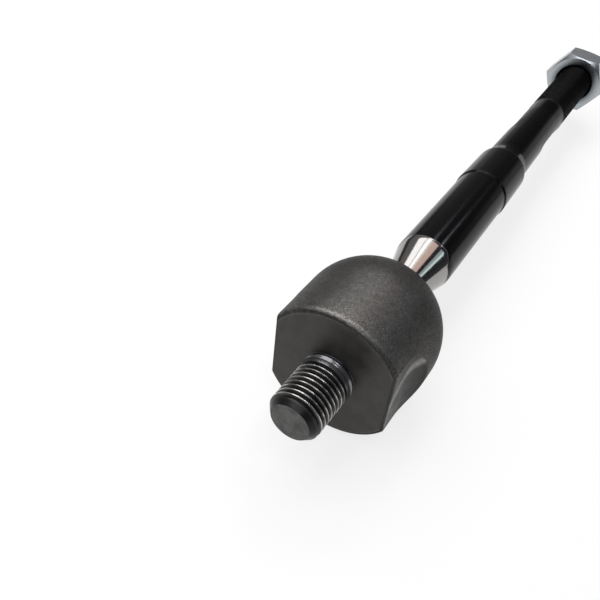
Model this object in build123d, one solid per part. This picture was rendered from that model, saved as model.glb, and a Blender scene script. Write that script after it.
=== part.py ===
"""Inner tie rod: an axial ball joint whose stud screws into a steering rack.

The X axis is the common axis of socket and rod, Z is up, and the origin lies in the
middle of the socket's shoulder face, which seats on the rack. The stud points along -X
and the rod along +X. All sizes are in millimetres.
"""

import os
from math import acos, asin, atan, cos, degrees, radians, sin, sqrt, tan

from build123d import *

# Rack stud, turned from the same forging as the socket, thread M14 x 1.5
STUD_R = 6.95
STUD_LENGTH = 17.6
STUD_TIP_CHAMFER = 2.0
STUD_TIP_DROP = 1.65
RELIEF_DEPTH = 0.85
RELIEF_LENGTH = 0.5
COLLAR_LENGTH = 3.3
COLLAR_SWELL = 0.2
UNDERCUT_LENGTH = 0.6
UNDERCUT_DEPTH = 0.1
UNDERCUT_CLEAR = 0.05

# Ball, and the polymer race and pad that carry it
BALL_R = 13.5
BALL_FIT = 0.05
RACE_WALL = 1.6
RACE_FIT = 0.05
PAD_ANGLE = 24.0
PAD_TRAVEL_GAP = 2.0
RACE_SETBACK = 4.0

# The rod swings by this much about Y and about Z
SWING = 16.0

# Socket body: a cylinder with two wrench flats, rolled over the ball at the back
FLOOR = 5.8
SOCKET_WALL = 4.3
SHOULDER_EDGE = 1.2
DOME_SETBACK = 1.4
FLATS_ACROSS = 33.0
FLAT_LENGTH = 6.5
FLAT_RUNOUT_R = 14.0
FLAT_EDGE_ROUND = 0.8
LIP_CLEARANCE = 0.45
LIP_ROUND = 0.7

# Rod, one turned piece with the ball. Lengths follow each other from the ball's centre
NECK_R = 4.9
NECK_ROOT = 1.2
CONE_REACH = 32.8
CONE_ANGLE = 14.0
CONE_BLEND = 1.3
SHANK_R = 8.85
SHANK_TAPER = 0.12
SHANK_LENGTH = 43.9
BAND_STEP = 0.37
BAND_RISE = 0.9
BAND_TAPER = 0.3
BAND_LENGTH = 20.3
BAND_ROUND = 0.8
STEM_DROP = 1.22
STEM_TAPER = 0.6
STEM_LENGTH = 50.4
STEM_ROOT = 0.4
THREAD_R = 6.95
THREAD_LENGTH = 54.0
THREAD_CHAMFER = 0.6
ROD_TIP_CHAMFER = 1.2

# Wrench flats on the stem, turned from the socket's flats as the rod happens to stand
WRENCH_ACROSS = 13.0
WRENCH_REACH = 37.0
WRENCH_LENGTH = 18.0
WRENCH_RUNOUT_R = 16.0
WRENCH_TURN = 15.0

# Jam nut, screwed well along the rod's thread
NUT_ACROSS = 22.0
NUT_HEIGHT = 10.0
NUT_REACH = 38.6
NUT_FIT = 0.05
NUT_CORNER_ANGLE = 30.0
NUT_FACE_INSET = 0.4
NUT_BORE_CHAMFER = 0.9
NUT_TURN = 4.0

# Places and radii that follow from the sizes above
AXIS = Axis.X
RACE_INNER_R = BALL_R + BALL_FIT
RACE_OUTER_R = RACE_INNER_R + RACE_WALL
CAVITY_R = RACE_OUTER_R + RACE_FIT
SOCKET_R = CAVITY_R + SOCKET_WALL
BALL_X = FLOOR + CAVITY_R
DOME_X = BALL_X - DOME_SETBACK
SWING_CONE = degrees(acos(cos(radians(SWING)) ** 2))
LIP_ANGLE = SWING_CONE + degrees(asin((NECK_R + LIP_CLEARANCE) / CAVITY_R))
RACE_BACK_ANGLE = LIP_ANGLE + RACE_SETBACK
RACE_FRONT_ANGLE = PAD_ANGLE + SWING + PAD_TRAVEL_GAP
CONE_END_X = BALL_X + CONE_REACH
BAND_X = CONE_END_X + SHANK_LENGTH
BAND_END_X = BAND_X + BAND_LENGTH
THREAD_X = BAND_END_X + STEM_LENGTH
ROD_END_X = THREAD_X + THREAD_LENGTH
SHANK_END_R = SHANK_R - SHANK_TAPER
BAND_R = SHANK_END_R + BAND_STEP
BAND_END_R = BAND_R - BAND_TAPER
STEM_R = BAND_END_R - STEM_DROP


def polar(centre_x, radius, angle):
    """Point of the half section at an angle from +X about a point of the axis."""
    return (centre_x + radius * cos(radians(angle)), radius * sin(radians(angle)))


def polar_from(point, distance, angle):
    """Point at a distance from another, at an angle from +X."""
    return (point[0] + distance * cos(radians(angle)), point[1] + distance * sin(radians(angle)))


def turned(edges):
    """Solid turned about the X axis from the closed outline of its upper half section."""
    return revolve(make_face(Plane.XY * Wire(edges)), AXIS)


def arc_about(centre_x, radius, start, end):
    """Arc of the half section about a point of the axis, between two angles."""
    middle = 0.5 * (start + end)
    return ThreePointArc(
        polar(centre_x, radius, start),
        polar(centre_x, radius, middle),
        polar(centre_x, radius, end),
    )


def ray_meets_circle(origin_x, angle, centre_x, radius):
    """Distance along a ray from a point of the axis to a circle about another one."""
    offset = origin_x - centre_x
    along = offset * cos(radians(angle))
    return -along + sqrt(along * along - offset * offset + radius * radius)


def flat_cutter(half_across, start_x, end_x, runout_r, reach, turn, open_start=False):
    """Tool that mills one flat, with a round run-out at each closed end.

    The flat's normal is +Y turned about X. The tool is as wide as the work.
    """
    outer = half_across + reach
    left = start_x - runout_r
    right = end_x + runout_r
    top = half_across + runout_r
    end_arc = RadiusArc((end_x, half_across), (right, top), -runout_r)
    if open_start:
        outline = [
            Line((start_x, half_across), (end_x, half_across)),
            end_arc,
            Line((right, top), (right, top + outer)),
            Line((right, top + outer), (start_x, top + outer)),
            Line((start_x, top + outer), (start_x, half_across)),
        ]
    else:
        outline = [
            RadiusArc((left, top), (start_x, half_across), -runout_r),
            Line((start_x, half_across), (end_x, half_across)),
            end_arc,
            Line((right, top), (right, top + outer)),
            Line((right, top + outer), (left, top + outer)),
            Line((left, top + outer), (left, top)),
        ]
    tool = extrude(make_face(Plane.XY * Wire(outline)), reach, both=True)
    return tool.rotate(AXIS, turn)


def stud_outline():
    """Upper outline of the stud from its tip to the foot of its collar."""
    relief_start = -(COLLAR_LENGTH + RELIEF_LENGTH)
    relief_r = STUD_R - RELIEF_DEPTH
    return [
        (-STUD_LENGTH, 0.0),
        (-STUD_LENGTH, STUD_R - STUD_TIP_DROP),
        (STUD_TIP_CHAMFER - STUD_LENGTH, STUD_R),
        (relief_start - RELIEF_DEPTH / 2, STUD_R),
        (relief_start, relief_r),
        (-COLLAR_LENGTH, relief_r),
        (-COLLAR_LENGTH, STUD_R),
    ]


def flat_rims(body):
    """Edges round both wrench flats of the socket, with their run-outs."""
    flats = body.faces().filter_by(GeomType.PLANE).filter_by(Axis.Y)
    bends = body.faces().filter_by(GeomType.CYLINDER)
    runouts = [face for face in bends if abs(face.radius - FLAT_RUNOUT_R) < 0.001]
    edges = [edge for face in [*flats, *runouts] for edge in face.edges()]
    return [edge for edge in edges if abs(edge.center().X - FLAT_LENGTH) > 0.001]


def socket_housing():
    """Socket forging: stud, shoulder, body with two flats and the rolled lip."""
    points = stud_outline()
    edges = [Line(a, b) for a, b in zip(points, points[1:])]
    collar_middle = (-0.5 * (COLLAR_LENGTH + UNDERCUT_LENGTH), STUD_R + COLLAR_SWELL)
    collar_end = (-UNDERCUT_LENGTH, STUD_R)
    undercut_r = STUD_R - UNDERCUT_DEPTH
    root_r = UNDERCUT_DEPTH + COLLAR_SWELL + UNDERCUT_CLEAR
    undercut_start = (-UNDERCUT_LENGTH, undercut_r)
    undercut_end = (-root_r, undercut_r)
    face_foot = (0.0, undercut_r + root_r)
    face_rim = (0.0, SOCKET_R - SHOULDER_EDGE)
    body_rim = (SHOULDER_EDGE, SOCKET_R)
    lip_reach = ray_meets_circle(BALL_X, LIP_ANGLE, DOME_X, SOCKET_R)
    lip_outer = polar(BALL_X, lip_reach, LIP_ANGLE)
    lip_inner = polar(BALL_X, CAVITY_R, LIP_ANGLE)
    dome_middle = polar(DOME_X, SOCKET_R, 0.5 * (90.0 + LIP_ANGLE))
    edges += [
        ThreePointArc(points[-1], collar_middle, collar_end),
        Line(collar_end, undercut_start),
        Line(undercut_start, undercut_end),
        RadiusArc(undercut_end, face_foot, -root_r),
        Line(face_foot, face_rim),
        RadiusArc(face_rim, body_rim, SHOULDER_EDGE),
        Line(body_rim, (DOME_X, SOCKET_R)),
        ThreePointArc((DOME_X, SOCKET_R), dome_middle, lip_outer),
        Line(lip_outer, lip_inner),
        arc_about(BALL_X, CAVITY_R, LIP_ANGLE, 180.0),
        Line((BALL_X - CAVITY_R, 0.0), (-STUD_LENGTH, 0.0)),
    ]
    body = turned(edges)
    lip_edge = body.edges().filter_by(GeomType.CIRCLE).sort_by(Axis.X)[-1]
    body = fillet(lip_edge, LIP_ROUND)
    for turn in (0.0, 180.0):
        body -= flat_cutter(
            FLATS_ACROSS / 2, -SOCKET_R, FLAT_LENGTH, FLAT_RUNOUT_R, 2 * SOCKET_R, turn, True
        )
    return fillet(flat_rims(body), FLAT_EDGE_ROUND)


def zone(start, end):
    """Part of the spherical space between ball and socket, between two angles from +X."""
    outline = [
        arc_about(BALL_X, RACE_OUTER_R, start, end),
        Line(polar(BALL_X, RACE_OUTER_R, end), polar(BALL_X, RACE_INNER_R, end)),
        arc_about(BALL_X, RACE_INNER_R, end, start),
        Line(polar(BALL_X, RACE_INNER_R, start), polar(BALL_X, RACE_OUTER_R, start)),
    ]
    return turned(outline)


def ball_race():
    """Polymer ring round the ball, from beside its nose to behind its middle."""
    return zone(RACE_BACK_ANGLE, 180.0 - RACE_FRONT_ANGLE)


def pressure_pad():
    """Polymer cap between the nose of the ball and the bottom of the socket."""
    return zone(180.0 - PAD_ANGLE, 180.0)


def tie_rod():
    """Rod: ball, neck, polished cone, shank, band, stem with wrench flats, thread."""
    root_angle = degrees(asin((NECK_R + NECK_ROOT) / (BALL_R + NECK_ROOT)))
    neck_x = polar(BALL_X, BALL_R + NECK_ROOT, root_angle)[0]
    cone_x = CONE_END_X - (SHANK_R - NECK_R) / tan(radians(CONE_ANGLE))
    shank_slope = degrees(atan(SHANK_TAPER / SHANK_LENGTH))
    blend_r = CONE_BLEND / tan(radians((CONE_ANGLE + shank_slope) / 2))
    cone = [
        (neck_x, NECK_R),
        (cone_x, NECK_R),
        polar_from((CONE_END_X, SHANK_R), CONE_BLEND, CONE_ANGLE - 180.0),
    ]
    shank = [
        polar_from((CONE_END_X, SHANK_R), CONE_BLEND, -shank_slope),
        (BAND_X, SHANK_END_R),
        (BAND_X + BAND_RISE, BAND_R),
        (BAND_END_X - BAND_ROUND, BAND_END_R),
    ]
    shoulder_top = (BAND_END_X, BAND_END_R - BAND_ROUND)
    shoulder_foot = (BAND_END_X, STEM_R + STEM_ROOT)
    stem = [
        (BAND_END_X + STEM_ROOT, STEM_R),
        (THREAD_X, STEM_R - STEM_TAPER),
        (THREAD_X + THREAD_CHAMFER, THREAD_R),
        (ROD_END_X - ROD_TIP_CHAMFER, THREAD_R),
        (ROD_END_X, THREAD_R - ROD_TIP_CHAMFER),
        (ROD_END_X, 0.0),
        (BALL_X - BALL_R, 0.0),
    ]
    edges = [
        arc_about(BALL_X, BALL_R, 180.0, root_angle),
        RadiusArc(polar(BALL_X, BALL_R, root_angle), cone[0], -NECK_ROOT),
        RadiusArc(cone[-1], shank[0], blend_r),
        RadiusArc(shank[-1], shoulder_top, BAND_ROUND),
        Line(shoulder_top, shoulder_foot),
        RadiusArc(shoulder_foot, stem[0], -STEM_ROOT),
    ]
    edges += [Line(a, b) for a, b in zip(cone, cone[1:])]
    edges += [Line(a, b) for a, b in zip(shank, shank[1:])]
    edges += [Line(a, b) for a, b in zip(stem, stem[1:])]
    rod = turned(edges)
    middle = BAND_END_X + WRENCH_REACH
    half = WRENCH_LENGTH / 2
    for turn in (WRENCH_TURN, WRENCH_TURN + 180.0):
        rod -= flat_cutter(
            WRENCH_ACROSS / 2, middle - half, middle + half, WRENCH_RUNOUT_R, 2 * STEM_R, turn
        )
    return rod


def jam_nut():
    """Hexagon nut with both faces chamfered to a round."""
    hexagon = RegularPolygon(NUT_ACROSS / 2, 6, major_radius=False, rotation=0)
    block = extrude(Plane.YZ * hexagon, NUT_HEIGHT)
    corner_r = NUT_ACROSS / 2 / cos(radians(30.0))
    face_r = NUT_ACROSS / 2 - NUT_FACE_INSET
    slope = (corner_r - face_r) * tan(radians(NUT_CORNER_ANGLE))
    points = [
        (0.0, 0.0),
        (0.0, face_r),
        (slope, corner_r),
        (NUT_HEIGHT - slope, corner_r),
        (NUT_HEIGHT, face_r),
        (NUT_HEIGHT, 0.0),
        (0.0, 0.0),
    ]
    block &= turned([Line(a, b) for a, b in zip(points, points[1:])])
    bore_r = THREAD_R + NUT_FIT
    mouth_r = bore_r + NUT_BORE_CHAMFER
    points = [
        (0.0, 0.0),
        (0.0, mouth_r),
        (NUT_BORE_CHAMFER, bore_r),
        (NUT_HEIGHT - NUT_BORE_CHAMFER, bore_r),
        (NUT_HEIGHT, mouth_r),
        (NUT_HEIGHT, 0.0),
        (0.0, 0.0),
    ]
    block -= turned([Line(a, b) for a, b in zip(points, points[1:])])
    return block.rotate(AXIS, NUT_TURN).moved(Location((THREAD_X + NUT_REACH, 0.0, 0.0)))


PIECES = {
    "socket_housing": socket_housing,
    "ball_race": ball_race,
    "pressure_pad": pressure_pad,
    "tie_rod": tie_rod,
    "jam_nut": jam_nut,
}

os.makedirs("parts", exist_ok=True)
for name, make in PIECES.items():
    export_step(make(), f"parts/{name}.step")
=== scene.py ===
import math

import bmesh
import bpy
import numpy as np
from bpy.props import FloatProperty, FloatVectorProperty, IntProperty, PointerProperty
from mathutils import Matrix, Vector


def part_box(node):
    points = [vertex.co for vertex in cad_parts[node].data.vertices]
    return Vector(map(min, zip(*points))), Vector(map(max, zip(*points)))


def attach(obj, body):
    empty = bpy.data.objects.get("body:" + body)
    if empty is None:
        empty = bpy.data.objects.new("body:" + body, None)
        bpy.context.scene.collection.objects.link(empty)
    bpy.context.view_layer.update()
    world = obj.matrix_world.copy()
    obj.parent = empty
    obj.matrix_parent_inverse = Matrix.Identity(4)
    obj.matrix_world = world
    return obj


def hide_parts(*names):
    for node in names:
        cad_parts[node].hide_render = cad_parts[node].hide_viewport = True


bl_info = {
    "name": "Inner Tie Rod Finish",
    "version": (1, 0, 0),
    "blender": (4, 5, 0),
    "location": "View3D > Sidebar > Tie Rod",
    "description": "Cuts the threads of an inner tie rod and gives its pieces their finishes",
    "category": "Object",
}

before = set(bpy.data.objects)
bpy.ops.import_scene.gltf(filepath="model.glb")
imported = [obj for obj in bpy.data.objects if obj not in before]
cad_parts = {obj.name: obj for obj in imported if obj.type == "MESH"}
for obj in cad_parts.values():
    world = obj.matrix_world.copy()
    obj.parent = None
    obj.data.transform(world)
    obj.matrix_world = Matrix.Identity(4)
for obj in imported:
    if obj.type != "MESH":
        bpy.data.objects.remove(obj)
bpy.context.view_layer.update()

MM = 0.001
TINY = 1e-6
STUD_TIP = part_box("socket_housing")[0].x
ROD_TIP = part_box("tie_rod")[1].x
FLOOR_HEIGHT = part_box("socket_housing")[0].z


def length(name, description, default, low=0.0):
    """A distance in metres."""
    return FloatProperty(
        name=name,
        description=description,
        default=default,
        min=low,
        precision=5,
        subtype="DISTANCE",
        unit="LENGTH",
    )


def colour(name, description, default):
    """A linear colour."""
    return FloatVectorProperty(
        name=name,
        description=description,
        default=default,
        size=3,
        min=0.0,
        max=1.0,
        subtype="COLOR",
    )


class ThreadSizes(bpy.types.PropertyGroup):
    crest_radius: length("Crest radius", "Radius over the crests of both threads", 6.95 * MM)
    pitch: length("Pitch", "Advance of one turn of the thread", 1.5 * MM, 0.2 * MM)
    depth: length("Depth", "Depth of the groove from crest to root", 0.92 * MM)
    crest_share: FloatProperty(
        name="Crest share",
        description="Part of the pitch that the flat of the crest takes",
        default=0.14,
        min=0.0,
        max=0.5,
        subtype="FACTOR",
    )
    root_share: FloatProperty(
        name="Root share",
        description="Part of the pitch that the round of the root takes",
        default=0.16,
        min=0.0,
        max=0.5,
        subtype="FACTOR",
    )
    rows: IntProperty(
        name="Rows in a pitch",
        description="Faces along one pitch of the thread",
        default=16,
        min=6,
        max=48,
    )
    segments: IntProperty(
        name="Faces round", description="Faces round the thread", default=72, min=24, max=192
    )
    stud_length: length("Stud thread", "Thread on the stud with its tip bevel", 13.8 * MM)
    stud_tip_bevel: length("Stud bevel", "Length of the bevel at the stud's tip", 2.0 * MM)
    stud_tip_drop: length("Stud bevel drop", "Radius that the bevel takes at the tip", 1.65 * MM)
    relief_drop: length("Relief drop", "Depth of the undercut behind the stud's thread", 0.85 * MM)
    relief_bevel: length("Relief bevel", "Length of the slope into the undercut", 0.425 * MM)
    rod_length: length("Rod thread", "Thread on the rod with its tip bevel", 53.4 * MM)
    rod_tip_bevel: length("Rod bevel", "Length of the bevel at the rod's tip", 1.2 * MM)
    rod_fade: length("Rod run-in", "Length over which the rod's thread deepens", 2.2 * MM)
    coat_start: length("Coat edge", "Where the coat begins, behind the shoulder face", 52.3 * MM)
    coat_rise: length("Coat rise", "How much further out the coat's edge lies on top", 2.4 * MM)


class FinishColours(bpy.types.PropertyGroup):
    forging: colour("Blasted forging", "Shot-blasted and phosphated steel", (0.069, 0.0675, 0.0645))
    # Painted highlight on the top of the body's rim, broken up like wear.
    rim_highlight: colour("Rubbed rim", "Bare steel behind the body's front edge", (0.36, 0.35, 0.33))
    pressed_face: colour("Pressed face", "Shoulder face and wrench flats", (0.050, 0.048, 0.045))
    face_rings: colour("Face rings", "Fine rings on the shoulder face", (0.075, 0.070, 0.062))
    rubbed_edge: colour("Rubbed edge", "Bare steel at the shoulder face's edge", (0.20, 0.19, 0.18))
    # Painted highlight in a band across each wrench flat.
    flat_highlight: colour("Rubbed flat", "Bright band across each wrench flat", (0.38, 0.37, 0.36))
    stud: colour("Oiled stud", "Rolled thread with a film of oil", (0.050, 0.048, 0.047))
    crests: colour("Rubbed crests", "Bright crests of the stud's thread", (0.50, 0.49, 0.47))
    stud_end: colour("Stud's end", "Lighter spots on the stud's end face", (0.10, 0.10, 0.097))
    collar: colour("Collar", "Turned collar at the stud's foot", (0.19, 0.19, 0.20))
    coat: colour("Black coat", "Glossy black coat of the rod", (0.0035, 0.0033, 0.0032))
    polished: colour("Polished steel", "Bare polished cone and ball", (0.32, 0.31, 0.305))
    zinc: colour("Zinc plate", "Bright zinc plate of the nut", (0.42, 0.44, 0.46))
    # Painted shade and a painted dark reflection of the rod round the nut's bore.
    bore_shade: colour("Soiled zinc", "Dark ring round the nut's bore", (0.055, 0.065, 0.080))
    polymer: colour("Race polymer", "Moulded off-white polymer", (0.78, 0.76, 0.68))
    grease: colour("Grease", "Smear of grease on the polymer", (0.52, 0.42, 0.27))


class StageSettings(bpy.types.PropertyGroup):
    floor: colour("Floor", "Plain floor under the part", (0.88, 0.88, 0.88))
    shadow_share: FloatProperty(
        name="Shadow",
        description="Share of the floor's own shading that the camera sees",
        default=0.22,
        min=0.0,
        max=1.0,
        subtype="FACTOR",
    )
    lamp_level: FloatProperty(
        name="Lamps", description="Brightness of all the panels together", default=1.0, min=0.0
    )
    lens: FloatProperty(
        name="Lens", description="Focal length on a 36 mm wide sensor", default=42.0, min=10.0
    )


class Nodes:
    """Adds nodes to one tree, and gives back the output socket of each."""

    def __init__(self, tree):
        self.tree = tree

    def feed(self, socket, value):
        """Links or sets an input. None leaves it as it is."""
        if isinstance(value, bpy.types.NodeSocket):
            self.tree.links.new(value, socket)
        elif value is not None:
            if socket.type == "RGBA" and len(value) == 3:
                value = (*value, 1.0)
            socket.default_value = value

    def node(self, kind, inputs=None, **settings):
        made = self.tree.nodes.new(kind)
        for key, value in settings.items():
            setattr(made, key, value)
        for key, value in (inputs or {}).items():
            self.feed(made.inputs[key], value)
        return made

    def put(self, kind, inputs=None, out=0, **settings):
        return self.node(kind, inputs, **settings).outputs[out]

    def calc(self, operation, *values):
        return self.put("ShaderNodeMath", dict(enumerate(values)), operation=operation)

    def away(self, value, middle):
        """How far a value is from another, on either side."""
        return self.calc("ABSOLUTE", self.calc("SUBTRACT", value, middle))

    def ramp(self, value, low, high, start=0.0, end=1.0, smooth=True):
        """Maps a value from one span to another, held at both ends."""
        kind = "SMOOTHSTEP" if smooth else "LINEAR"
        spans = {"Value": value, "From Min": low, "From Max": high, "To Min": start, "To Max": end}
        return self.put("ShaderNodeMapRange", spans, interpolation_type=kind, clamp=True)

    def lerp(self, share, first, second):
        """Number between two others."""
        return self.put("ShaderNodeMix", {0: share, 2: first, 3: second}, clamp_factor=True)

    def blend(self, share, first, second):
        """Colour between two others."""
        made = self.node("ShaderNodeMix", data_type="RGBA", clamp_factor=True)
        self.feed(made.inputs[0], share)
        self.feed(made.inputs[6], first)
        self.feed(made.inputs[7], second)
        return made.outputs[2]

    def use(self, group, inputs=None):
        """A node group, as a dictionary of its outputs."""
        made = self.node("ShaderNodeGroup", node_tree=group)
        for key, value in (inputs or {}).items():
            self.feed(made.inputs[key], value)
        return {socket.name: socket for socket in made.outputs}


def node_group(name, kind, inputs, outputs):
    """An empty group with named sockets, and its input and output nodes."""
    group = bpy.data.node_groups.new(name, kind)
    for title, socket_type, default in inputs:
        socket = group.interface.new_socket(title, in_out="INPUT", socket_type=socket_type)
        if default is not None:
            socket.default_value = default
    for title, socket_type in outputs:
        group.interface.new_socket(title, in_out="OUTPUT", socket_type=socket_type)
    entry = group.nodes.new("NodeGroupInput")
    exit_node = group.nodes.new("NodeGroupOutput")
    return group, entry.outputs, exit_node.inputs


FLOAT = "NodeSocketFloat"
WHOLE = "NodeSocketInt"
# How near two points of a thread are joined, which closes it round its turn.
SEAM = 4e-6


def helical_thread_tree():
    """Geometry of a right-handed thread along +X, whose rows of faces follow the helix."""
    group, entry, leave = node_group(
        "helical_thread",
        "GeometryNodeTree",
        [
            ("Start", FLOAT, 0.0),
            ("Length", FLOAT, 0.01),
            ("Crest Radius", FLOAT, 0.007),
            ("Pitch", FLOAT, 0.0015),
            ("Depth", FLOAT, 0.0009),
            ("Crest Share", FLOAT, 0.14),
            ("Root Share", FLOAT, 0.16),
            ("Rows", WHOLE, 16),
            ("Segments", WHOLE, 72),
            ("Start Fade", FLOAT, 0.0),
            ("End Fade", FLOAT, 0.0),
            ("Start Drop", FLOAT, 0.0),
            ("Start Bevel", FLOAT, 0.001),
            ("End Drop", FLOAT, 0.0),
            ("End Bevel", FLOAT, 0.001),
            ("Material", "NodeSocketMaterial", None),
        ],
        [("Geometry", "NodeSocketGeometry")],
    )
    n = Nodes(group)
    grown = n.calc("ADD", entry["Length"], entry["Pitch"])
    step = n.calc("DIVIDE", entry["Pitch"], entry["Rows"])
    rows = n.calc("CEIL", n.calc("DIVIDE", grown, step))
    grid = n.node(
        "GeometryNodeMeshGrid",
        {
            "Size X": 1.0,
            "Size Y": 1.0,
            "Vertices X": n.calc("ADD", rows, 1.0),
            "Vertices Y": n.calc("ADD", entry["Segments"], 1.0),
        },
    )
    place = n.node("ShaderNodeSeparateXYZ", {0: n.put("GeometryNodeInputPosition")})
    row = n.calc("MULTIPLY", n.calc("ADD", place.outputs["X"], 0.5), rows)
    turn = n.calc("ADD", place.outputs["Y"], 0.5)
    advance = n.calc("MULTIPLY", entry["Pitch"], n.calc("SUBTRACT", turn, 1.0))
    along = n.calc("MULTIPLY_ADD", row, step, advance)
    along = n.calc("MAXIMUM", n.calc("MINIMUM", along, entry["Length"]), 0.0)
    left = n.calc("SUBTRACT", entry["Length"], along)
    phase = n.calc("FRACT", n.calc("SUBTRACT", n.calc("DIVIDE", along, entry["Pitch"]), turn))
    away = n.calc("ABSOLUTE", n.calc("MULTIPLY_ADD", phase, 2.0, -1.0))
    root = n.calc("SUBTRACT", 1.0, entry["Root Share"])
    groove = n.ramp(away, entry["Crest Share"], root, smooth=False)
    start_fade = n.ramp(along, 0.0, n.calc("MAXIMUM", entry["Start Fade"], TINY))
    end_fade = n.ramp(left, 0.0, n.calc("MAXIMUM", entry["End Fade"], TINY))
    groove = n.calc("MULTIPLY", n.calc("MULTIPLY", groove, start_fade), end_fade)
    crest = entry["Crest Radius"]
    threaded = n.calc("SUBTRACT", crest, n.calc("MULTIPLY", groove, entry["Depth"]))
    for way, drop, bevel in (
        (along, entry["Start Drop"], entry["Start Bevel"]),
        (left, entry["End Drop"], entry["End Bevel"]),
    ):
        slope = n.calc("DIVIDE", drop, n.calc("MAXIMUM", bevel, TINY))
        cone = n.calc("MULTIPLY_ADD", way, slope, n.calc("SUBTRACT", crest, drop))
        threaded = n.calc("MINIMUM", threaded, cone)
    angle = n.calc("MULTIPLY", turn, math.tau)
    point = n.put(
        "ShaderNodeCombineXYZ",
        {
            "X": n.calc("ADD", along, entry["Start"]),
            "Y": n.calc("MULTIPLY", threaded, n.calc("COSINE", angle)),
            "Z": n.calc("MULTIPLY", threaded, n.calc("SINE", angle)),
        },
    )
    shape = n.put("GeometryNodeSetPosition", {"Geometry": grid.outputs["Mesh"], "Position": point})
    shape = n.put("GeometryNodeMergeByDistance", {"Geometry": shape, "Distance": SEAM})
    shape = n.put("GeometryNodeFlipFaces", {"Mesh": shape})
    shape = n.put("GeometryNodeSetShadeSmooth", {"Geometry": shape})
    shape = n.put("GeometryNodeRealizeInstances", {"Geometry": shape})
    shape = n.put("GeometryNodeSetMaterial", {"Geometry": shape, "Material": entry["Material"]})
    n.feed(leave["Geometry"], shape)
    return group


def baked_nodes(name, tree, values):
    """Plain mesh that a geometry tree makes from these inputs."""
    holder = bpy.data.objects.new(name, bpy.data.meshes.new(name))
    bpy.context.scene.collection.objects.link(holder)
    modifier = holder.modifiers.new(name, "NODES")
    modifier.node_group = tree
    for item in tree.interface.items_tree:
        if item.item_type == "SOCKET" and item.in_out == "INPUT" and item.name in values:
            modifier[item.identifier] = values[item.name]
    depsgraph = bpy.context.evaluated_depsgraph_get()
    mesh = bpy.data.meshes.new_from_object(
        holder.evaluated_get(depsgraph), preserve_all_data_layers=True, depsgraph=depsgraph
    )
    holder.modifiers.remove(modifier)
    bpy.data.objects.remove(holder)
    mesh.name = name
    if len(mesh.polygons) == 0:
        raise RuntimeError("the tree of " + name + " made no faces")
    return mesh


# How near two points of a solid are one, and how near an edge is to the rim that it is part of.
SAME_POINT = 1e-7
RIM_REACH = 0.06 * MM
NO_AREA = 1e-12


def cad_arrays(node):
    """Vertices, triangles and corner normals of a CAD node, with its doubles merged."""
    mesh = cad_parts[node].data
    points = np.zeros(len(mesh.vertices) * 3)
    mesh.vertices.foreach_get("co", points)
    points = points.reshape(-1, 3)
    corners = np.zeros(len(mesh.loops), dtype=np.int64)
    mesh.loops.foreach_get("vertex_index", corners)
    normals = np.zeros(len(mesh.loops) * 3)
    mesh.corner_normals.foreach_get("vector", normals)
    spots = np.round(points / SAME_POINT).astype(np.int64)
    _, first, merged = np.unique(spots, axis=0, return_index=True, return_inverse=True)
    triangles = merged.reshape(-1)[corners].reshape(-1, 3)
    normals = normals.reshape(-1, 3, 3)
    whole = (
        (triangles[:, 0] != triangles[:, 1])
        & (triangles[:, 1] != triangles[:, 2])
        & (triangles[:, 2] != triangles[:, 0])
    )
    return points[first], triangles[whole], normals[whole]


def dressed_copy(name, node, choose, materials, sleeve, rims):
    """Copy of a CAD node that has a thread sewn in between two rims, and its materials.

    The thread takes the last material. What choose gives back says which one each of the
    solid's own faces takes.
    """
    points, triangles, normals = cad_arrays(node)
    corners = points[triangles]
    middles = corners.mean(axis=1)
    facing = np.cross(corners[:, 1] - corners[:, 0], corners[:, 2] - corners[:, 0])
    facing /= np.maximum(np.linalg.norm(facing, axis=1, keepdims=True), NO_AREA)
    start, end = rims
    kept = (middles[:, 0] <= start + TINY) | (middles[:, 0] >= end - TINY)
    triangles, normals = triangles[kept], normals[kept]
    finish = choose(middles[kept], facing[kept])

    mesh = bpy.data.meshes.new(name)
    mesh.from_pydata(points.tolist(), [], triangles.tolist())
    for material in materials:
        mesh.materials.append(material)
    mesh.polygons.foreach_set("material_index", finish.astype(np.int32))
    layer = mesh.attributes.new("made_normal", "FLOAT_VECTOR", "CORNER")
    layer.data.foreach_set("vector", normals.reshape(-1).astype(np.float32))

    work = bmesh.new()
    work.from_mesh(mesh)
    bmesh.ops.delete(work, geom=[v for v in work.verts if not v.link_faces], context="VERTS")
    slot = len(materials) - 1
    old = set(work.faces)
    work.from_mesh(sleeve)
    for face in work.faces:
        if face not in old:
            face.material_index = slot
    for x in rims:
        rim = [
            e
            for e in work.edges
            if e.is_boundary and all(abs(v.co.x - x) < RIM_REACH for v in e.verts)
        ]
        for face in bmesh.ops.bridge_loops(work, edges=rim)["faces"]:
            face.material_index = slot
            face.smooth = True
    open_edges = sum(not e.is_manifold for e in work.edges)
    if open_edges:
        raise RuntimeError(name + " has " + str(open_edges) + " open edges")
    work.to_mesh(mesh)
    work.free()
    mesh.polygons.foreach_set("use_smooth", [True] * len(mesh.polygons))
    made = np.zeros(len(mesh.loops) * 3, dtype=np.float32)
    mesh.attributes["made_normal"].data.foreach_get("vector", made)
    mesh.normals_split_custom_set(made.reshape(-1, 3).tolist())
    mesh.attributes.remove(mesh.attributes["made_normal"])
    mesh.update()
    piece = bpy.data.objects.new(name, mesh)
    bpy.context.scene.collection.objects.link(piece)
    return piece


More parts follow.
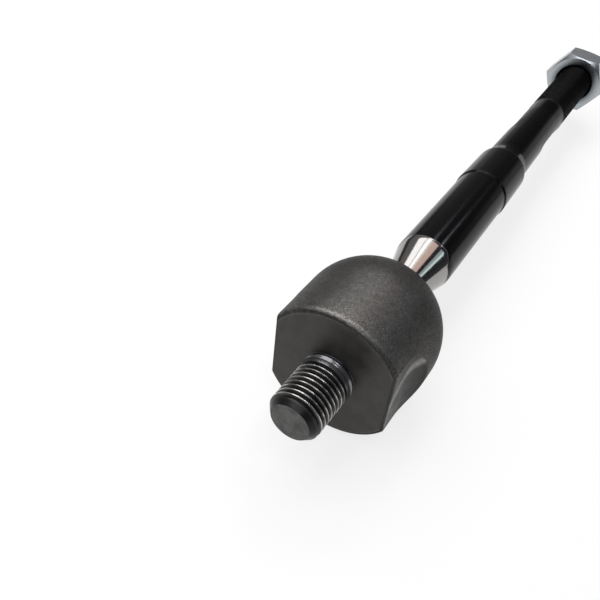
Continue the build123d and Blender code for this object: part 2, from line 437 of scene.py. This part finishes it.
def turned_place_group():
    """Distance along the axis, from it and above it, in millimetres, and the turn about it."""
    group, _, leave = node_group(
        "turned_place",
        "ShaderNodeTree",
        [],
        [("Along", FLOAT), ("Radius", FLOAT), ("Turn", FLOAT), ("Height", FLOAT)],
    )
    n = Nodes(group)
    place = n.put("ShaderNodeTexCoord", out="Object")
    split = n.node("ShaderNodeSeparateXYZ", {0: place})
    x, y, z = (n.calc("MULTIPLY", split.outputs[k], 1.0 / MM) for k in "XYZ")
    n.feed(leave["Along"], x)
    squares = n.calc("ADD", n.calc("MULTIPLY", y, y), n.calc("MULTIPLY", z, z))
    n.feed(leave["Radius"], n.calc("SQRT", squares))
    n.feed(leave["Turn"], n.calc("ARCTAN2", z, y))
    n.feed(leave["Height"], z)
    return group


def blasted_skin_group():
    """Fine dents and grains of a blasted or phosphated skin."""
    group, entry, leave = node_group(
        "blasted_skin",
        "ShaderNodeTree",
        [("Grain", FLOAT, 3200.0), ("Coarse", FLOAT, 700.0)],
        [("Height", FLOAT), ("Glint", FLOAT), ("Tone", FLOAT)],
    )
    n = Nodes(group)
    place = n.put("ShaderNodeTexCoord", out="Object")
    dents = n.put(
        "ShaderNodeTexVoronoi", {"Vector": place, "Scale": entry["Grain"], "Randomness": 1.0},
        out="Distance", feature="SMOOTH_F1",
    )
    grains = n.node("ShaderNodeTexVoronoi", {"Vector": place, "Scale": entry["Grain"]})
    fine = n.put("ShaderNodeTexNoise", {"Vector": place, "Scale": entry["Grain"], "Detail": 4.0})
    coarse = n.put("ShaderNodeTexNoise", {"Vector": place, "Scale": entry["Coarse"], "Detail": 3.0})
    cell = n.put("ShaderNodeSeparateColor", {0: grains.outputs["Color"]})
    height = n.calc("MULTIPLY_ADD", fine, 0.5, n.calc("MULTIPLY", dents, 0.8))
    n.feed(leave["Height"], n.calc("MULTIPLY_ADD", coarse, 0.8, height))
    n.feed(leave["Glint"], n.calc("MULTIPLY", cell, cell))
    n.feed(leave["Tone"], n.ramp(coarse, 0.3, 0.7))
    return group


def turning_rings_group():
    """Fine rings that turning leaves, as a height along one distance."""
    group, entry, leave = node_group(
        "turning_rings",
        "ShaderNodeTree",
        [("Distance", FLOAT, 0.0), ("Rings", FLOAT, 8.0)],
        [("Height", FLOAT), ("Tone", FLOAT)],
    )
    n = Nodes(group)
    spot = n.calc("MULTIPLY", entry["Distance"], entry["Rings"])
    fine = {"W": spot, "Scale": 1.0, "Detail": 3.0}
    slow = {"W": n.calc("MULTIPLY", spot, 0.13), "Scale": 1.0, "Detail": 2.0}
    fine, slow = (n.put("ShaderNodeTexNoise", k, noise_dimensions="1D") for k in (fine, slow))
    n.feed(leave["Height"], n.calc("MULTIPLY_ADD", slow, 0.6, fine))
    n.feed(leave["Tone"], slow)
    return group


def wear_and_highlight_ring_group():
    """Mask of a ring where a distance comes near a given value, broken up by noise, for wear and
    for painted highlights.
    """
    group, entry, leave = node_group(
        "wear_and_highlight_ring",
        "ShaderNodeTree",
        [
            ("Distance", FLOAT, 0.0),
            ("Centre", FLOAT, 0.0),
            ("Width", FLOAT, 0.5),
            ("Break", FLOAT, 0.5),
            ("Grain", FLOAT, 900.0),
        ],
        [("Mask", FLOAT)],
    )
    n = Nodes(group)
    place = n.put("ShaderNodeTexCoord", out="Object")
    noise = n.put("ShaderNodeTexNoise", {"Vector": place, "Scale": entry["Grain"], "Detail": 4.0})
    away = n.away(entry["Distance"], entry["Centre"])
    ring = n.ramp(n.calc("DIVIDE", away, entry["Width"]), 0.0, 1.0, 1.0, 0.0)
    broken = n.ramp(noise, 0.35, 0.62)
    share = n.calc("MULTIPLY_ADD", n.calc("SUBTRACT", broken, 1.0), entry["Break"], 1.0)
    n.feed(leave["Mask"], n.calc("MULTIPLY", ring, share))
    return group


# Where the finishes change. Single numbers are middles, pairs are the ends of a change.
# On the socket and its stud, in millimetres behind the shoulder face:
EDGE_SHADE_SPAN = (0.15, 0.6)
RIM_MIDDLE = 1.2
GLINTS_FADE = (2.0, 8.0)
BODY_SHADE = (12.0, 30.0)
FLAT_START = (0.1, 0.3)
FLAT_HIGHLIGHT_START = (0.2, 0.8)
FLAT_HIGHLIGHT_FADE = (11.0, 18.0)
THREAD_END = (-4.2, -3.9)
COLLAR_START = (-3.35, -3.25)
COLLAR_FLARE = (-2.2, -0.6)
COLLAR_GROOVE = (-0.70, -0.58)
END_FACE = (STUD_TIP / MM + 0.04, STUD_TIP / MM + 0.02)
# On the rod, in the same measure:
BAND_BACK = (118.0, 122.5)
STEM_START = (121.5, 125.0)
STEM_END = (158.0, 161.0)
ROD_THREAD_START = (167.4, 168.6)
# In millimetres from the axis or, the last one, above it:
FACE_EDGE = 18.3
CREST_RISE = (6.70, 6.95)
ROOT_DEPTH = (6.6, 6.1)
BORE_SHADE_SPAN = (7.2, 10.4)
COAT_CLIMB = (3.6, 6.8)
# The painted highlight on a flat is an arc round a point behind the shoulder face and above the
# axis:
FLAT_HIGHLIGHT_CENTRE = (12.0, -6.2)
FLAT_HIGHLIGHT_RADIUS = 12.4
# In radians about the axis, where the top is a quarter turn:
RIM_HIGHLIGHT_TURN = 1.60
RIM_HIGHLIGHT_REACH = (0.15, 0.75)
DULL_TURN = 1.1
DULL_REACH = (0.9, 1.15)
TOP_TURN = 1.75
TOP_REACH = (0.25, 0.6)

BLACK = (0.0, 0.0, 0.0)
EDGE_SHADE = (0.010, 0.010, 0.010)
ROOT_SHADE = (0.012, 0.012, 0.012)
DARK_END = (0.05, 0.05, 0.048)
GROOVE_SHADE = (0.035, 0.035, 0.038)


def scaled(tone, factor):
    """A colour made darker or lighter."""
    return [factor * channel for channel in tone]


def new_material(name):
    """A material with one shader, its node helper and the shader's inputs."""
    material = bpy.data.materials.new(name)
    material.use_nodes = True
    material.node_tree.nodes.clear()
    n = Nodes(material.node_tree)
    shader = n.node("ShaderNodeBsdfPrincipled")
    n.node("ShaderNodeOutputMaterial", {"Surface": shader.outputs[0]})
    return material, n, shader.inputs


def bumped(n, height, strength, distance, normal=None):
    """Normal bent by a height, on top of another bump if there is one."""
    inputs = {"Height": height, "Strength": strength, "Distance": distance, "Normal": normal}
    return n.put("ShaderNodeBump", inputs)


def blasted_forging(groups, colours):
    """Dark shot-blasted skin of the round body, with partly painted glints, a painted highlight on
    top of its rim, and painted shade at its front edge and towards its back.
    """
    material, n, shader = new_material("blasted_forging")
    place = n.use(groups["turned_place"])
    along = place["Along"]
    skin = n.use(groups["blasted_skin"], {"Grain": 3400.0, "Coarse": 520.0})
    rim = n.use(
        groups["wear_and_highlight_ring"],
        {"Distance": along, "Centre": RIM_MIDDLE, "Width": 0.8, "Break": 1.0, "Grain": 2300.0},
    )
    # Painted highlight: the rim's bright band is kept to the top of the body, where the light
    # falls.
    top = n.ramp(n.away(place["Turn"], RIM_HIGHLIGHT_TURN), *RIM_HIGHLIGHT_REACH, 1.0, 0.0)
    brightened = n.calc("MULTIPLY", n.calc("MULTIPLY", rim["Mask"], top), 0.65)
    # Lighter grains at random, partly painted glints, which weaken away from the front edge.
    glint = n.calc("MULTIPLY", skin["Glint"], n.ramp(along, *GLINTS_FADE, 1.0, 0.55))
    base = colours.forging
    tone = n.blend(skin["Tone"], scaled(base, 0.84), scaled(base, 1.12))
    tone = n.blend(glint, tone, scaled(base, 2.2))
    # Painted shade: the body grows darker towards its back.
    tone = n.blend(n.ramp(along, *BODY_SHADE, 1.0, 0.55), BLACK, tone)
    # Painted shade along the front edge.
    tone = n.blend(n.ramp(along, *EDGE_SHADE_SPAN, 0.6, 0.0), tone, EDGE_SHADE)
    tone = n.blend(brightened, tone, colours.rim_highlight[:])
    n.feed(shader["Base Color"], tone)
    n.feed(shader["Metallic"], 0.8)
    n.feed(shader["Specular Tint"], (0.5, 0.5, 0.5))
    n.feed(shader["Roughness"], n.ramp(skin["Glint"], 0.0, 1.0, 0.48, 0.36, smooth=False))
    n.feed(shader["Normal"], bumped(n, skin["Height"], 0.6, 0.0001))
    return material


def pressed_face(groups, colours):
    """Smooth satin shoulder face, and wrench flats darkened by painted shade, each with a painted
    highlight in an arc.
    """
    material, n, shader = new_material("pressed_face")
    place = n.use(groups["turned_place"])
    along, radius = place["Along"], place["Radius"]
    skin = n.use(groups["blasted_skin"], {"Grain": 2600.0, "Coarse": 260.0})
    rings = n.use(groups["turning_rings"], {"Distance": radius, "Rings": 5.0})
    rim = n.use(
        groups["wear_and_highlight_ring"], {"Distance": radius, "Centre": FACE_EDGE, "Width": 0.4, "Break": 1.0}
    )
    behind, above = FLAT_HIGHLIGHT_CENTRE
    squares = n.calc(
        "ADD",
        n.calc("POWER", n.calc("SUBTRACT", along, behind), 2.0),
        n.calc("POWER", n.calc("SUBTRACT", place["Height"], above), 2.0),
    )
    band = n.use(
        groups["wear_and_highlight_ring"],
        {"Distance": n.calc("SQRT", squares), "Centre": FLAT_HIGHLIGHT_RADIUS, "Width": 2.6, "Break": 0.3},
    )
    band = n.calc("MULTIPLY", band["Mask"], n.ramp(along, *FLAT_HIGHLIGHT_START))
    band = n.calc("MULTIPLY", band, n.ramp(along, *FLAT_HIGHLIGHT_FADE, 1.0, 0.3))
    base = colours.pressed_face
    tone = n.blend(skin["Tone"], scaled(base, 0.82), scaled(base, 1.18))
    tone = n.blend(n.calc("MULTIPLY", rings["Tone"], 0.25), tone, colours.face_rings[:])
    tone = n.blend(n.calc("MULTIPLY", rim["Mask"], 0.25), tone, colours.rubbed_edge[:])
    # Painted highlight in an arc across each flat.
    tone = n.blend(n.calc("MULTIPLY", band, 0.8), tone, colours.flat_highlight[:])
    # Painted shade: the flats are darker away from their painted highlight.
    flat = n.ramp(along, *FLAT_START, smooth=False)
    shade = n.calc("MULTIPLY", flat, n.lerp(band, 0.45, 0.0))
    n.feed(shader["Base Color"], n.blend(shade, tone, BLACK))
    n.feed(shader["Metallic"], 0.6)
    n.feed(shader["Specular Tint"], (0.6, 0.6, 0.6))
    n.feed(shader["Roughness"], n.ramp(skin["Tone"], 0.0, 1.0, 0.36, 0.46, smooth=False))
    height = n.calc("MULTIPLY_ADD", rings["Height"], 0.25, skin["Height"])
    n.feed(shader["Normal"], bumped(n, height, 0.2, 0.00005))
    return material


def oiled_stud(groups, colours):
    """Dark oily steel of the stud, bright where its crests are rubbed, with painted shade in its
    thread's roots and at the collar's foot, and its smooth collar.

    On the collar the normals lean towards the tip, as in the hollow at a turned one's foot.
    """
    material, n, shader = new_material("oiled_stud")
    place = n.use(groups["turned_place"])
    along, radius = place["Along"], place["Radius"]
    skin = n.use(groups["blasted_skin"], {"Grain": 2400.0, "Coarse": 420.0})
    crest = n.calc("MULTIPLY", n.ramp(radius, *CREST_RISE), n.ramp(along, *THREAD_END, 1.0, 0.0))
    brightened = n.calc("MULTIPLY", crest, n.ramp(skin["Tone"], 0.1, 0.75, 0.35, 1.0))
    root = n.calc("MULTIPLY", n.ramp(radius, *ROOT_DEPTH), 0.8)
    end = n.calc("MULTIPLY", n.ramp(along, *END_FACE, smooth=False), 0.9)
    collar = n.ramp(along, *COLLAR_START, smooth=False)
    groove = n.ramp(along, *COLLAR_GROOVE, smooth=False)
    base = colours.stud
    tone = n.blend(skin["Tone"], scaled(base, 0.7), scaled(base, 1.3))
    # Painted shade in the thread's roots.
    tone = n.blend(root, tone, ROOT_SHADE)
    tone = n.blend(brightened, tone, colours.crests[:])
    tone = n.blend(end, tone, n.blend(skin["Tone"], DARK_END, colours.stud_end[:]))
    tone = n.blend(collar, tone, colours.collar[:])
    # Painted shade at the collar's foot.
    n.feed(shader["Base Color"], n.blend(groove, tone, GROOVE_SHADE))
    n.feed(shader["Metallic"], 0.85)
    rough = n.ramp(brightened, 0.0, 1.0, 0.38, 0.20, smooth=False)
    n.feed(shader["Roughness"], n.lerp(collar, rough, 0.24))
    grain = bumped(n, skin["Height"], 0.18, 0.00004)
    n.feed(shader["Normal"], bumped(n, n.ramp(along, *COLLAR_FLARE), 1.0, 0.0009, grain))
    return material


def rod_finish(groups, colours, coat_start, coat_rise):
    """Black coat from one distance on, and bare polished steel with turning rings before it.

    The coat is duller on top of the stem and, past the stem's end, on the thread. On both
    sides behind the band the normals lean away from it, as in the hollow of a turned step.
    """
    material, n, shader = new_material("rod_finish")
    place = n.use(groups["turned_place"])
    along, turn = place["Along"], place["Turn"]
    rings = n.use(groups["turning_rings"], {"Distance": along, "Rings": 9.0})
    spot = n.put("ShaderNodeTexCoord", out="Object")
    peel = n.put("ShaderNodeTexNoise", {"Vector": spot, "Scale": 420.0, "Detail": 2.0})
    dust = n.put("ShaderNodeTexNoise", {"Vector": spot, "Scale": 1600.0, "Detail": 3.0})
    edge = n.calc("MULTIPLY_ADD", peel, 0.2, coat_start / MM - 0.1)
    climb = n.ramp(place["Height"], *COAT_CLIMB, 0.0, coat_rise / MM, smooth=False)
    edge = n.calc("ADD", edge, climb)
    coated = n.ramp(n.calc("SUBTRACT", along, edge), -0.2, 0.2, smooth=False)
    steel = n.blend(rings["Tone"], scaled(colours.polished, 0.9), colours.polished[:])
    black = n.blend(n.ramp(dust, 0.55, 0.8), colours.coat[:], scaled(colours.coat, 1.8))
    n.feed(shader["Base Color"], n.blend(coated, steel, black))
    n.feed(shader["Metallic"], n.calc("SUBTRACT", 1.0, coated))

    thread = n.ramp(along, *ROD_THREAD_START)
    steel_rough = n.ramp(rings["Tone"], 0.3, 0.7, 0.09, 0.15, smooth=False)
    coat_rough = n.ramp(dust, 0.3, 0.8, 0.12, 0.20, smooth=False)
    coat_rough = n.lerp(thread, coat_rough, 0.26)
    n.feed(shader["Roughness"], n.lerp(coated, steel_rough, coat_rough))

    dull = n.ramp(n.away(turn, DULL_TURN), *DULL_REACH, 1.0, 0.0)
    dull = n.calc("MULTIPLY", dull, n.ramp(along, *STEM_START))
    sides = n.ramp(n.away(turn, TOP_TURN), *TOP_REACH)
    gloss = n.lerp(dull, 0.09, 0.025)
    gloss = n.lerp(n.ramp(along, *STEM_END), gloss, n.lerp(sides, 0.010, 0.07))
    n.feed(shader["Specular IOR Level"], n.lerp(thread, gloss, 0.04))

    height = n.lerp(coated, n.calc("MULTIPLY", rings["Height"], 0.2), peel)
    skin = bumped(n, height, 0.12, 0.00005)
    hollow = n.ramp(along, *BAND_BACK, 1.0, 0.0)
    n.feed(shader["Normal"], bumped(n, hollow, sides, 0.0013, skin))
    return material


def zinc_plate(groups, colours):
    """Bright zinc with a bluish tone, faintly clouded, and darkened round the bore by painted shade
    and a painted dark reflection of the rod.
    """
    material, n, shader = new_material("zinc_plate")
    spot = n.put("ShaderNodeTexCoord", out="Object")
    clouds = n.put("ShaderNodeTexNoise", {"Vector": spot, "Scale": 260.0, "Detail": 3.0})
    fine = n.put("ShaderNodeTexNoise", {"Vector": spot, "Scale": 2200.0, "Detail": 3.0})
    red, green, blue = colours.zinc
    cool = (red * 0.94, green * 0.98, blue)
    warm = (red, green * 0.99, blue * 0.96)
    plate = n.blend(n.ramp(clouds, 0.35, 0.65), cool, warm)
    # Painted shade and a painted dark reflection of the rod round the bore.
    bore_shade = n.ramp(n.use(groups["turned_place"])["Radius"], *BORE_SHADE_SPAN, 0.93, 0.0)
    n.feed(shader["Base Color"], n.blend(bore_shade, plate, colours.bore_shade[:]))
    n.feed(shader["Metallic"], 1.0)
    n.feed(shader["Roughness"], n.ramp(clouds, 0.3, 0.7, 0.26, 0.31, smooth=False))
    n.feed(shader["Normal"], bumped(n, fine, 0.03, 0.00004))
    return material


def race_polymer(colours):
    """Moulded off-white polymer with a smear of grease."""
    material, n, shader = new_material("race_polymer")
    spot = n.put("ShaderNodeTexCoord", out="Object")
    smear = n.put("ShaderNodeTexNoise", {"Vector": spot, "Scale": 190.0, "Detail": 4.0})
    fine = n.put("ShaderNodeTexNoise", {"Vector": spot, "Scale": 1800.0, "Detail": 2.0})
    tone = n.blend(n.ramp(smear, 0.5, 0.75), colours.polymer[:], colours.grease[:])
    n.feed(shader["Base Color"], tone)
    n.feed(shader["Roughness"], n.ramp(smear, 0.45, 0.75, 0.46, 0.18, smooth=False))
    n.feed(shader["Normal"], bumped(n, fine, 0.1, 0.00004))
    return material


def shared_groups():
    """The shader groups that the finishes share, built once."""
    makers = {
        "turned_place": turned_place_group,
        "blasted_skin": blasted_skin_group,
        "turning_rings": turning_rings_group,
        "wear_and_highlight_ring": wear_and_highlight_ring_group,
    }
    return {name: bpy.data.node_groups.get(name) or make() for name, make in makers.items()}


def thread_mesh(name, sizes, start, span, ends, material):
    """One thread as a plain mesh, from the tree that stud and rod share."""
    tree = bpy.data.node_groups.get("helical_thread") or helical_thread_tree()
    values = {
        "Start": start,
        "Length": span,
        "Crest Radius": sizes.crest_radius,
        "Pitch": sizes.pitch,
        "Depth": sizes.depth,
        "Crest Share": sizes.crest_share,
        "Root Share": sizes.root_share,
        "Rows": sizes.rows,
        "Segments": sizes.segments,
        "Material": material,
    }
    return baked_nodes(name, tree, {**values, **ends})


# What tells the socket's shoulder face, its wrench flats and its stud from its forged skin.
FACE_DEPTH = 0.02 * MM
FACE_FRONT = -0.99
FLAT_OFFSET = 16.4 * MM
FLAT_LENGTH = 21 * MM
FLAT_LEAN = 2e-3
COLLAR_REACH = 9.2 * MM
FORGED, SMOOTH, STUD = 0, 1, 2


class TIEROD_OT_socket(bpy.types.Operator):
    """Give the socket its blasted skin, its smooth faces and the stud's thread"""

    bl_idname = "tierod.socket"
    bl_label = "Finish Socket"

    def execute(self, context):
        sizes = context.scene.tierod_thread
        colours = context.scene.tierod_finish
        groups = shared_groups()
        stud = oiled_stud(groups, colours)
        ends = {
            "Start Drop": sizes.stud_tip_drop,
            "Start Bevel": sizes.stud_tip_bevel,
            "End Drop": sizes.relief_drop,
            "End Bevel": sizes.relief_bevel,
        }
        thread = thread_mesh("stud_thread", sizes, STUD_TIP, sizes.stud_length, ends, stud)

        def choose(middles, facing):
            x, y, z = middles.T
            front = (x < FACE_DEPTH) & (facing[:, 0] < FACE_FRONT)
            flat = (np.abs(y) > FLAT_OFFSET) & (x < FLAT_LENGTH)
            flat &= np.abs(facing[:, 2]) < FLAT_LEAN
            finish = np.where(front | flat, SMOOTH, FORGED)
            finish[(x < -TINY) & (np.hypot(y, z) < COLLAR_REACH)] = STUD
            return finish

        materials = [blasted_forging(groups, colours), pressed_face(groups, colours), stud]
        rims = (STUD_TIP, STUD_TIP + sizes.stud_length)
        piece = dressed_copy("socket_and_stud", "socket_housing", choose, materials, thread, rims)
        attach(piece, "socket")
        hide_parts("socket_housing")
        return {"FINISHED"}


class TIEROD_OT_rod(bpy.types.Operator):
    """Cut the rod's thread, coat the rod black and leave its cone and ball bare"""

    bl_idname = "tierod.rod"
    bl_label = "Finish Rod"

    def execute(self, context):
        sizes = context.scene.tierod_thread
        colours = context.scene.tierod_finish
        groups = shared_groups()
        finish = rod_finish(groups, colours, sizes.coat_start, sizes.coat_rise)
        start = ROD_TIP - sizes.rod_length
        ends = {
            "Start Fade": sizes.rod_fade,
            "End Drop": sizes.rod_tip_bevel,
            "End Bevel": sizes.rod_tip_bevel,
        }
        thread = thread_mesh("rod_thread", sizes, start, sizes.rod_length, ends, finish)

        def choose(middles, facing):
            return np.zeros(len(middles))

        rims = (start, ROD_TIP)
        piece = dressed_copy("rod_and_ball", "tie_rod", choose, [finish], thread, rims)
        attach(piece, "rod")
        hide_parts("tie_rod")
        return {"FINISHED"}


def repaint(node, material):
    """Gives a CAD node's object one material."""
    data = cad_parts[node].data
    data.materials.clear()
    data.materials.append(material)


class TIEROD_OT_nut(bpy.types.Operator):
    """Plate the jam nut with bright zinc"""

    bl_idname = "tierod.nut"
    bl_label = "Finish Nut"

    def execute(self, context):
        repaint("jam_nut", zinc_plate(shared_groups(), context.scene.tierod_finish))
        return {"FINISHED"}


class TIEROD_OT_bearing(bpy.types.Operator):
    """Give the ball's race and pad their moulded polymer"""

    bl_idname = "tierod.bearing"
    bl_label = "Finish Race and Pad"

    def execute(self, context):
        polymer = race_polymer(context.scene.tierod_finish)
        repaint("ball_race", polymer)
        repaint("pressure_pad", polymer)
        return {"FINISHED"}


# Name, place, size, brightness and colour of each level panel above the part.
PANELS = (
    ("side_panel", (0.148, 0.505), (1.185, 0.43), 2.8, (1.0, 1.0, 1.0)),
    ("gap_panel", (0.148, 0.265), (1.185, 0.05), 1.1, (1.0, 0.98, 0.96)),
    ("key_panel", (0.148, 0.160), (1.185, 0.16), 3.2, (1.0, 1.0, 1.0)),
    ("cream_panel", (0.41, 0.035), (0.40, 0.09), 1.7, (1.0, 0.92, 0.80)),
    ("warm_panel", (0.41, -0.15), (0.40, 0.28), 1.5, (1.0, 0.72, 0.62)),
    ("green_panel", (0.50, -0.66), (0.30, 0.24), 0.9, (0.85, 1.0, 0.99)),
    ("green_strip", (0.56, -0.90), (0.42, 0.24), 2.1, (0.80, 1.0, 0.98)),
    ("dome_panel", (0.62, 0.19), (0.18, 0.22), 9.5, (1.0, 0.98, 0.95)),
    ("collar_panel", (-0.15, -0.19), (0.24, 0.16), 6.5, (0.95, 0.95, 1.0)),
    ("back_panel", (-0.76, 0.00), (0.36, 0.80), 4.2, (0.92, 0.95, 1.0)),
    ("far_strip", (0.835, 0.05), (0.19, 0.12), 7.0, (0.84, 0.86, 1.0)),
    ("low_strip", (0.97, -0.42), (0.22, 0.11), 14.0, (0.82, 0.90, 1.0)),
)
PANEL_HEIGHT = 0.70
FLOOR_REACH = 3.0
# Spans of the looking direction in which the world's tone changes:
PALE_AHEAD = (0.76, 0.94)
LIT_SIDE = (-0.4, 0.5)
HORIZON_BAND = (0.17, 0.30)
# The camera that was fitted to the photo:
CAMERA_PLACE = (-0.10370, -0.04464, 0.12976)
CAMERA_RIGHT = (0.5380, -0.8383, 0.0881)
CAMERA_BACK = (-0.6432, -0.3407, 0.6857)
CAMERA_SHIFT = (-0.001, 0.001)
CAMERA_CLIP = (0.01, 20.0)
SENSOR_WIDTH = 36.0


def area_light(name, spot, size, brightness, tint):
    """A level panel above the part. Its power follows from its size and brightness."""
    light = bpy.data.lights.new(name, "AREA")
    light.shape = "RECTANGLE"
    light.size, light.size_y = size
    light.energy = math.pi * size[0] * size[1] * brightness
    light.color = tint
    lamp = bpy.data.objects.new(name, light)
    lamp.location = (*spot, PANEL_HEIGHT)
    bpy.context.scene.collection.objects.link(lamp)


class TIEROD_OT_stage(bpy.types.Operator):
    """Set up the plain floor, the soft lights and the camera"""

    bl_idname = "tierod.stage"
    bl_label = "Build Stage"

    def execute(self, context):
        settings = context.scene.tierod_stage
        self.floor(settings)
        self.world(context)
        self.lights(settings)
        self.camera(context, settings)
        context.scene.view_settings.view_transform = "Standard"
        return {"FINISHED"}

    def floor(self, settings):
        """A plain pale plane, which camera and reflections see lighter than it is."""
        mesh = bpy.data.meshes.new("floor")
        ways = ((-1, -1), (1, -1), (1, 1), (-1, 1))
        corners = [(x * FLOOR_REACH, y * FLOOR_REACH, FLOOR_HEIGHT) for x, y in ways]
        mesh.from_pydata(corners, [], [(0, 1, 2, 3)])
        floor = bpy.data.objects.new("floor", mesh)
        bpy.context.scene.collection.objects.link(floor)
        material = bpy.data.materials.new("plain_floor")
        material.use_nodes = True
        material.node_tree.nodes.clear()
        n = Nodes(material.node_tree)
        paper = n.put("ShaderNodeBsdfDiffuse", {"Color": settings.floor[:]})
        glow = n.put("ShaderNodeEmission", {"Color": (1.0, 1.0, 1.0), "Strength": 1.0})
        path = n.node("ShaderNodeLightPath").outputs
        seen = n.calc("MAXIMUM", path["Is Camera Ray"], path["Is Glossy Ray"])
        seen = n.calc("MAXIMUM", seen, path["Is Transmission Ray"])
        share = n.calc("MULTIPLY", seen, 1.0 - settings.shadow_share)
        mixed = n.put("ShaderNodeMixShader", {0: share, 1: paper, 2: glow})
        n.node("ShaderNodeOutputMaterial", {"Surface": mixed})
        mesh.materials.append(material)

    def world(self, context):
        """Pale at the horizon ahead and dark behind, and overhead dim on the left."""
        world = bpy.data.worlds.new("studio")
        context.scene.world = world
        world.use_nodes = True
        world.node_tree.nodes.clear()
        n = Nodes(world.node_tree)
        looking = n.put("ShaderNodeTexCoord", out="Generated")
        way = n.node("ShaderNodeSeparateXYZ", {0: looking}).outputs
        low = n.blend(n.ramp(way["X"], *PALE_AHEAD), (0.07, 0.07, 0.07), (0.85, 0.85, 0.85))
        high = n.blend(n.ramp(way["Y"], *LIT_SIDE), (0.050, 0.055, 0.065), (0.28, 0.27, 0.27))
        tone = n.blend(n.ramp(way["Z"], *HORIZON_BAND), low, high)
        back = n.put("ShaderNodeBackground", {"Color": tone, "Strength": 1.0})
        n.node("ShaderNodeOutputWorld", {"Surface": back})

    def lights(self, settings):
        for name, spot, size, brightness, tint in PANELS:
            area_light(name, spot, size, brightness * settings.lamp_level, tint)

    def camera(self, context, settings):
        data = bpy.data.cameras.new("camera")
        data.lens = settings.lens
        data.sensor_width = SENSOR_WIDTH
        data.clip_start, data.clip_end = CAMERA_CLIP
        data.shift_x, data.shift_y = CAMERA_SHIFT
        camera = bpy.data.objects.new("camera", data)
        right = Vector(CAMERA_RIGHT).normalized()
        back = Vector(CAMERA_BACK).normalized()
        up = back.cross(right).normalized()
        right = up.cross(back)
        turn = Matrix((right, up, back)).transposed().to_4x4()
        camera.matrix_world = Matrix.Translation(CAMERA_PLACE) @ turn
        context.scene.collection.objects.link(camera)
        context.scene.camera = camera


class TIEROD_PT_panel(bpy.types.Panel):
    """Sizes, colours and steps of the tie rod's finish"""

    bl_label = "Inner Tie Rod"
    bl_idname = "TIEROD_PT_panel"
    bl_space_type = "VIEW_3D"
    bl_region_type = "UI"
    bl_category = "Tie Rod"

    def draw(self, context):
        layout = self.layout
        for title, group in (
            ("Threads", context.scene.tierod_thread),
            ("Finishes", context.scene.tierod_finish),
            ("Stage", context.scene.tierod_stage),
        ):
            box = layout.box()
            box.label(text=title)
            for key in type(group).__annotations__:
                box.prop(group, key)
        column = layout.column(align=True)
        for step in STEPS:
            column.operator(step.bl_idname)


GROUPS = {
    "tierod_thread": ThreadSizes,
    "tierod_finish": FinishColours,
    "tierod_stage": StageSettings,
}
STEPS = (TIEROD_OT_socket, TIEROD_OT_rod, TIEROD_OT_nut, TIEROD_OT_bearing, TIEROD_OT_stage)


def register():
    for group in GROUPS.values():
        bpy.utils.register_class(group)
    for step in STEPS:
        bpy.utils.register_class(step)
    bpy.utils.register_class(TIEROD_PT_panel)
    for name, group in GROUPS.items():
        setattr(bpy.types.Scene, name, PointerProperty(type=group))


def unregister():
    for name in GROUPS:
        delattr(bpy.types.Scene, name)
    bpy.utils.unregister_class(TIEROD_PT_panel)
    for step in reversed(STEPS):
        bpy.utils.unregister_class(step)
    for group in reversed(tuple(GROUPS.values())):
        bpy.utils.unregister_class(group)


def main():
    register()
    bpy.ops.tierod.socket()
    bpy.ops.tierod.rod()
    bpy.ops.tierod.nut()
    bpy.ops.tierod.bearing()
    bpy.ops.tierod.stage()


if __name__ == "__main__":
    main()
